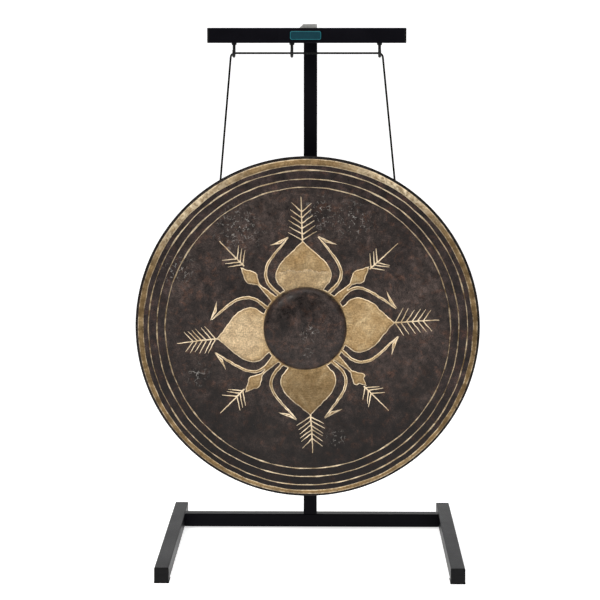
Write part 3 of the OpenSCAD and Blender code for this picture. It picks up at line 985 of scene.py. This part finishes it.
def plate(back):
    """The flat plate and its bent edge. Returns its outer ring and the ring at the boss"""
    profile, whole = plate_profile(back)
    rim = circle((0, 0), whole, RIM_COLUMNS)
    hole = circle((BOSS_X, 0), BOSS_R - (METAL if back else 0), BOSS_COLUMNS)
    pairs = [] if back else bands()
    cuts = [] if back else [circle((BOSS_X, 0), RING_R, BOSS_COLUMNS)] + ornament()
    outlines = [rim, hole] + [ring for pair in pairs for ring in pair] + cuts
    near = nearest([p for outline in outlines for p in outline])
    foot = BOSS_R + 1

    def in_boss(x, z):
        return math.hypot(x - BOSS_X, z) < foot

    if back:
        grid = scattered(whole - 2, 4.6, near, 2 * whole, in_boss)
    else:
        grid = scattered(whole - 2, 3.5, near, 6.5, in_boss)
        fold = [(x, crease_line(x) + side) for x in np.arange(-62, 45, 2.2) for side in (-0.6, 0.6)]
        grid = [p for p in grid if crease_line(p[0]) is None or abs(crease_line(p[0]) - p[1]) > 2]
        grid += [p for spine in spines + [fold] for p in spine if near.find((*p, 0))[2] > 1.2]
    flat, faces, inside, numbers = triangles(outlines, grid)
    first_cut = 2 + 2 * len(pairs)
    bare, kept = [], []
    for face, rings in zip(faces, inside):
        middle = sum((flat[c] for c in face), Vector((0, 0))) / 3
        if in_boss(middle.x, middle.y) and 1 in rings:
            continue
        kept.append(face)
        banded = any((2 + 2 * k in rings) and (3 + 2 * k not in rings) for k in range(len(pairs)))
        bare.append(banded or any(r >= first_cut for r in rings))
    return flat, kept, bare, numbers, profile


def lifted(point, profile, depth):
    """A point of the flat drawing, on the real plate in mm, depth behind its surface"""
    reach = math.hypot(point[0], point[1])
    radius, back = profile(reach)
    scale = radius / reach if reach > 0 else 1
    x, z = point[0] * scale, point[1] * scale
    fade = min(1, max(0, (FLAT_R - reach) / 14)) * min(1, max(
        0, (math.hypot(point[0] - BOSS_X, point[1]) - BOSS_R) / 10))
    return x, back + depth + fade * (waviness(x, z) + crease(x, z)), z


def add_plate(shell, back):
    """Puts the front or back plate in the shell; returns its outer ring and its boss ring"""
    flat, faces, bare, numbers, profile = plate(back)
    if back:
        points = shell.add_points(
            lifted(p, profile, hammered(*p) * min(1, max(0, FLAT_R - p.length) / 14)) for p in flat)
        for a, b, c in faces:
            shell.add_face((points[a], points[c], points[b]), RAW)
        return [points[i] for i in numbers[0]], [points[i] for i in numbers[1]], {}
    skin, cut, sides = {}, {}, {}
    for face, is_bare in zip(faces, bare):
        for a, b in zip(face, face[1:] + face[:1]):
            (cut if is_bare else skin)[a] = None
            sides.setdefault((min(a, b), max(a, b)), []).append((is_bare, a, b))
    steps = [uses for uses in sides.values() if len(uses) == 2 and uses[0][0] != uses[1][0]]
    gaps = distances(flat, cut, {corner for uses in steps for corner in uses[0][1:]})
    for corner in skin:
        skin[corner] = shell.add_points([lifted(flat[corner], profile, 0)])[0]
    for corner in cut:
        ringed = (math.hypot(flat[corner].x - BOSS_X, flat[corner].y) - BOSS_R) / 10
        hollow = SCRAPE_DEPTH + GROOVE_DEPTH * min(1, ringed) * (1 - math.exp(-gaps[corner] / 2.5))
        cut[corner] = shell.add_points([lifted(flat[corner], profile, hollow)])[0]
    for face, is_bare in zip(faces, bare):
        chosen = cut if is_bare else skin
        is_edge = min(flat[c].length for c in face) > FLAT_R
        shell.add_face([chosen[c] for c in face], BARE if is_bare else EDGE if is_edge else FACE)
    for uses in steps:
        _, a, b = uses[0] if uses[0][0] else uses[1]
        shell.add_face((cut[b], cut[a], skin[a], skin[b]), BARE)
    outer = [skin.get(i, cut.get(i)) for i in numbers[0]]
    foot = [cut[i] for i in numbers[1]]
    marks = {cut[i]: (min(1, gap / 10), paleness(*flat[i])) for i, gap in gaps.items()}
    return outer, foot, marks


def distances(flat, chosen, border):
    """How far each chosen corner is from the nearest border corner, in mm"""
    tree = nearest([flat[corner] for corner in border])
    return {c: tree.find((flat[c][0], flat[c][1], 0))[2] for c in chosen}


def add_boss(shell, foot, back):
    """The raised boss, joined to the plate at the ring foot"""
    profile, whole = boss_profile(back)
    rim = circle((0, 0), whole, BOSS_COLUMNS)
    grid = scattered(whole - 1, 4.0, nearest(rim), 2 * whole, lambda x, z: False)
    flat, faces, _, numbers = triangles([rim], grid)
    place = {number: foot[k] for k, number in enumerate(numbers[0])}
    for number, (u, v) in enumerate(flat):
        if number in place:
            continue
        reach = math.hypot(u, v)
        radius, depth = profile(reach)
        scale = radius / reach if reach > 0 else 1
        x, z = BOSS_X + u * scale, v * scale
        fade = min(1, (whole - reach) / 25)
        place[number] = shell.add_points([(x, depth + 0.7 * fade * (waviness(x, z) + 0.2), z)])[0]
    for a, b, c in faces:
        order = (a, c, b) if back else (a, b, c)
        shell.add_face([place[i] for i in order], RAW if back else FACE)


def wall_radius(depth, inner):
    """The rim's radius at a depth behind the face"""
    share = (depth - EDGE_R) / (RIM_DEPTH - EDGE_R)
    return GONG_R + (RIM_END_R - GONG_R) * share - (METAL if inner else 0)


def wall_point(angle, depth, inner):
    radius = wall_radius(depth, inner)
    blow = noise.voronoi(Vector((math.cos(angle) * 20, math.sin(angle) * 20, depth / 20)))[0][0]
    fade = min(1, (depth - EDGE_R) / 8, (RIM_DEPTH - depth) / 3)
    radius -= 0.5 * max(0, fade) * (1 - min(1, blow))
    return radius * math.cos(angle), depth, radius * math.sin(angle)


WALL_DEPTHS = [9, 12.5, 16, 20, 24, 30, 36, 42, 48, 54, 58]
HOLE_ROWS = (0, 4)  # the rows of WALL_DEPTHS that frame a hole
HOLE_SIDES = 40
HOLE_TURNS = [math.radians(90 - HOLE_ANGLE), math.radians(90 + HOLE_ANGLE)]
HOLE_COLUMNS = 3  # columns cut away on each side of a hole


def add_wall(shell, outer, inner):
    """The rim from the front plate's ring round its lip to the back plate's ring"""
    turns = np.linspace(0, 2 * math.pi, RIM_COLUMNS, endpoint=False)
    outside, inside = [], []
    for depth in WALL_DEPTHS:
        outside.append(shell.add_points(wall_point(t, depth, False) for t in turns))
        inside.append(shell.add_points(wall_point(t, depth, True) for t in turns))
    lips = []
    for radius_in, depth in ((0.5, 59.4), (1.3, 60), (METAL - 1.3, 60), (METAL - 0.5, 59.4)):
        radius = RIM_END_R - radius_in
        lips.append(shell.add_points((radius * math.cos(t), depth, radius * math.sin(t))
                                     for t in turns))
    rings = [outer] + outside + lips + inside[::-1] + [inner]
    centres = [int(round(t / (2 * math.pi) * RIM_COLUMNS)) for t in HOLE_TURNS]
    open_columns = {c + k for c in centres for k in range(-HOLE_COLUMNS, HOLE_COLUMNS)}
    first, last = HOLE_ROWS
    for number, (near, far) in enumerate(zip(rings, rings[1:])):
        is_outside = number <= len(WALL_DEPTHS)
        mirrored = len(rings) - 2 - number
        row = number - 1 if is_outside else mirrored - 1
        framed = first <= row < last
        material = EDGE if is_outside else RAW
        for i in range(RIM_COLUMNS):
            if framed and i in open_columns:
                continue
            after = (i + 1) % RIM_COLUMNS
            shell.add_face((near[i], far[i], far[after], near[after]), material)
    for centre, turn in zip(centres, HOLE_TURNS):
        edges = []
        for rows, is_inner in ((outside, False), (inside, True)):
            edges.append(add_hole_patch(shell, rows, centre, turn, is_inner))
        for k in range(HOLE_SIDES):
            after = (k + 1) % HOLE_SIDES
            shell.add_face((edges[0][k], edges[0][after], edges[1][after], edges[1][k]), BARE)


def add_hole_patch(shell, rows, centre, turn, inner):
    """Fills the gap in the wall round a drilled hole; returns the hole's ring"""
    first, last = HOLE_ROWS
    left, right = centre - HOLE_COLUMNS, centre + HOLE_COLUMNS
    frame_places = ([(first, c) for c in range(left, right + 1)]
                    + [(r, right) for r in range(first + 1, last)]
                    + [(last, c) for c in range(right, left - 1, -1)]
                    + [(r, left) for r in range(last - 1, first, -1)])
    radius = wall_radius(HOLE_BACK, inner)
    step = 2 * math.pi / RIM_COLUMNS
    outline = [((c * step - turn) * radius, WALL_DEPTHS[r]) for r, c in frame_places]
    ring = circle((0, HOLE_BACK), HOLE_D / 2, HOLE_SIDES)
    flat, faces, inside, numbers = triangles([outline, ring], [])
    ring_points = shell.add_points(
        wall_point(turn + u / radius, depth, inner) for u, depth in ring)
    place = {n: rows[r][c % RIM_COLUMNS] for n, (r, c) in zip(numbers[0], frame_places)}
    place.update(zip(numbers[1], ring_points))
    for (a, b, c), rings in zip(faces, inside):
        if 1 in rings:
            continue
        order = (a, b, c) if inner else (a, c, b)
        shell.add_face([place[i] for i in order], RAW if inner else EDGE)
    return ring_points


def make_gong():
    shell = Shell()
    front_ring, front_foot, marks = add_plate(shell, back=False)
    back_ring, back_foot, _ = add_plate(shell, back=True)
    add_boss(shell, front_foot, back=False)
    add_boss(shell, back_foot, back=True)
    add_wall(shell, front_ring, back_ring)
    gong = make_object("hammered_gong", np.array(shell.points) * MM, shell.faces,
                       shell.materials, [patina(), scraped_bronze(), raw_bronze(), rim_black()], 40)
    for column, name in enumerate(("from_edge", "pale")):
        values = np.full(len(shell.points), 1.0 - column, np.float32)
        for corner, pair in marks.items():
            values[corner] = pair[column]
        gong.data.attributes.new(name, "FLOAT", "POINT").data.foreach_set("value", values)
    gong.matrix_world = GONG_PLACE
    stand_in(gong, "gong", "gong")


make_gong()


# ---------- badge ----------

def rounded_outline(width, height, radius, steps=8):
    """A rectangle with round corners about the origin"""
    outline = []
    for sx, sy, start in ((1, 1, 0), (-1, 1, 90), (-1, -1, 180), (1, -1, 270)):
        for k in range(steps + 1):
            turn = math.radians(start + 90 * k / steps)
            outline.append((sx * (width / 2 - radius) + radius * math.cos(turn),
                            sy * (height / 2 - radius) + radius * math.sin(turn)))
    return outline


def make_badge():
    """A blank plate with a thin light border, its edges bevelled"""
    low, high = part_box("badge_plate")
    width, thick, height = (high - low) / MM
    middle = (low + high) / 2 / MM
    bevel, border = min(0.5, thick / 3), 0.9
    shell = Shell()
    rings = []
    for inset, depth in ((0, thick), (0, bevel), (bevel, 0), (bevel + border, 0),
                         (bevel + border + 0.15, 0.15)):
        outline = rounded_outline(width - 2 * inset, height - 2 * inset,
                                  max(0.8, height * 0.22 - inset))
        rings.append(shell.add_points((middle.x + u, low.y / MM + depth, middle.z + v)
                                      for u, v in outline))
    for number, (near, far) in enumerate(zip(rings, rings[1:])):
        shell.add_strip(near, far, 1 if number == 2 else 0)
    shell.add_face(rings[-1], 0)
    shell.add_face(rings[0][::-1], 0)
    badge = make_object("badge_blank", np.array(shell.points) * MM, shell.faces, shell.materials,
                        [LOOKS["badge_teal"], enamel("badge_border", (0.012, 0.17, 0.2), 0.3)], 30)
    stand_in(badge, "stand", "badge_plate")


make_badge()


# ---------- CAD nodes ----------

def paint_nodes():
    """Each CAD node takes the look of its slot in the record"""
    for part in frame["record"]["subparts"]:
        if part["material_slot"] in LOOKS:
            mesh = frame["nodes"][part["node"]].data
            mesh.materials.clear()
            mesh.materials.append(LOOKS[part["material_slot"]])


paint_nodes()


# ---------- studio ----------

def sweep_backdrop():
    """A white floor that curves up into a white wall far behind the stand"""
    section = [(-9, 0), (5, 0)]
    bend = 2.5
    section += [(5 + bend * math.sin(math.radians(a)), bend - bend * math.cos(math.radians(a)))
                for a in range(6, 91, 6)]
    section.append((5 + bend, 7))
    points = [(x, y, z) for x in (-9, 9) for y, z in section]
    count = len(section)
    faces = [(i, i + count, i + count + 1, i + 1) for i in range(count - 1)]
    material, _, shader = blank_material("studio_white")
    shader.inputs["Base Color"].default_value = (0.86, 0.86, 0.86, 1)
    shader.inputs["Roughness"].default_value = 0.95
    shader.inputs["Specular IOR Level"].default_value = 0.1
    shader.inputs["Emission Color"].default_value = (1, 1, 1, 1)
    shader.inputs["Emission Strength"].default_value = 0.62
    backdrop = make_object("backdrop", points, faces, [0] * len(faces), [material])


def area_light(name, place, target, size, power, tone=(1, 1, 1)):
    data = bpy.data.lights.new(name, "AREA")
    data.shape = "RECTANGLE"
    data.size, data.size_y = size
    data.energy = power
    data.color = tone
    light = bpy.data.objects.new(name, data)
    light.location = place
    light.rotation_euler = (Vector(target) - Vector(place)).to_track_quat("-Z", "Y").to_euler()
    scene.collection.objects.link(light)


def light_studio():
    world = bpy.data.worlds.new("studio")
    world.use_nodes = True
    background = world.node_tree.nodes["Background"]
    background.inputs["Color"].default_value = (1, 1, 1, 1)
    background.inputs["Strength"].default_value = 0.28
    scene.world = world
    scene.view_settings.view_transform = "Standard"
    area_light("key_softbox", (-2.2, -2.6, 3.0), (0, 0, 0.55), (1.8, 1.2), 70, (1, 0.97, 0.93))
    area_light("fill_softbox", (2.6, -2.8, 1.9), (0, 0, 0.55), (1.4, 1.4), 26)
    area_light("top_softbox", (0, -0.1, 3.4), (0, 0, 0.5), (3.2, 2.4), 75)


sweep_backdrop()
light_studio()
